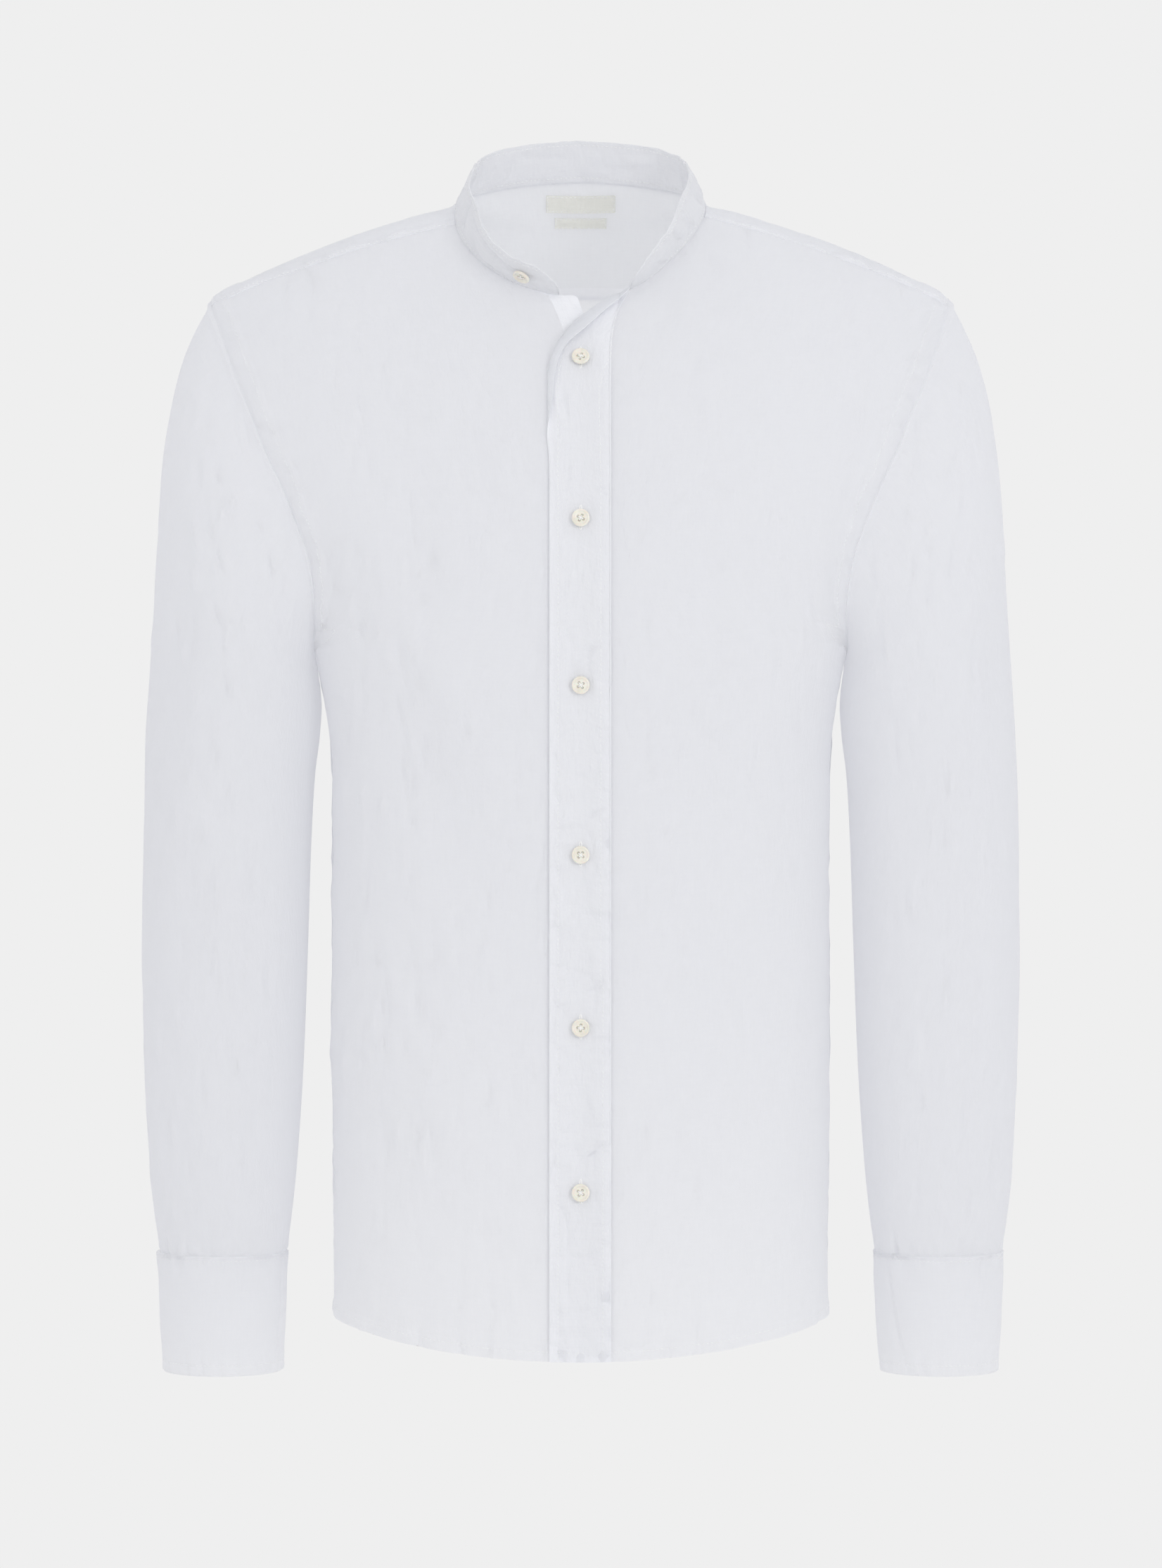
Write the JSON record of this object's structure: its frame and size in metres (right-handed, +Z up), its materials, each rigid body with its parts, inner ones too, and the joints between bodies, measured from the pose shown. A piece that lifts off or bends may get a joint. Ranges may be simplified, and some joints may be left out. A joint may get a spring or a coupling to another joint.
{
  "type": "mandarin collar shirt",
  "caption": "Long-sleeved linen shirt with a band collar worn open, a buttoned placket front, a back yoke and barrel cuffs, filled out as worn.",
  "frame": {"origin": "middle of the neck, level with the shoulder ends of the neckline, where the wearer's shoulders hold it up", "axes": "+Z up the body, +X to the wearer's left, the front towards -Y"},
  "size_m": [0.5542, 0.2294, 0.782],
  "materials": {
    "linen": "matt plain-woven white linen",
    "linen_doubled": "matt white linen, folded double and pressed",
    "button_resin": "polished cream resin",
    "label_weave": "smooth pale grey ribbon, bare"
  },
  "bodies": {
    "root": {"back": "linen", "front_left": "linen", "front_right": "linen", "yoke": "linen", "sleeve_left": "linen", "sleeve_right": "linen", "placket": "linen_doubled", "collar": "linen_doubled", "cuff_left": "linen_doubled", "cuff_right": "linen_doubled", "button_1": "button_resin", "button_2": "button_resin", "button_3": "button_resin", "button_4": "button_resin", "button_5": "button_resin", "button_6": "button_resin", "collar_button": "button_resin", "cuff_button_left": "button_resin", "cuff_button_right": "button_resin", "label_main": "label_weave", "label_size": "label_weave"}
  },
  "joints": []
}
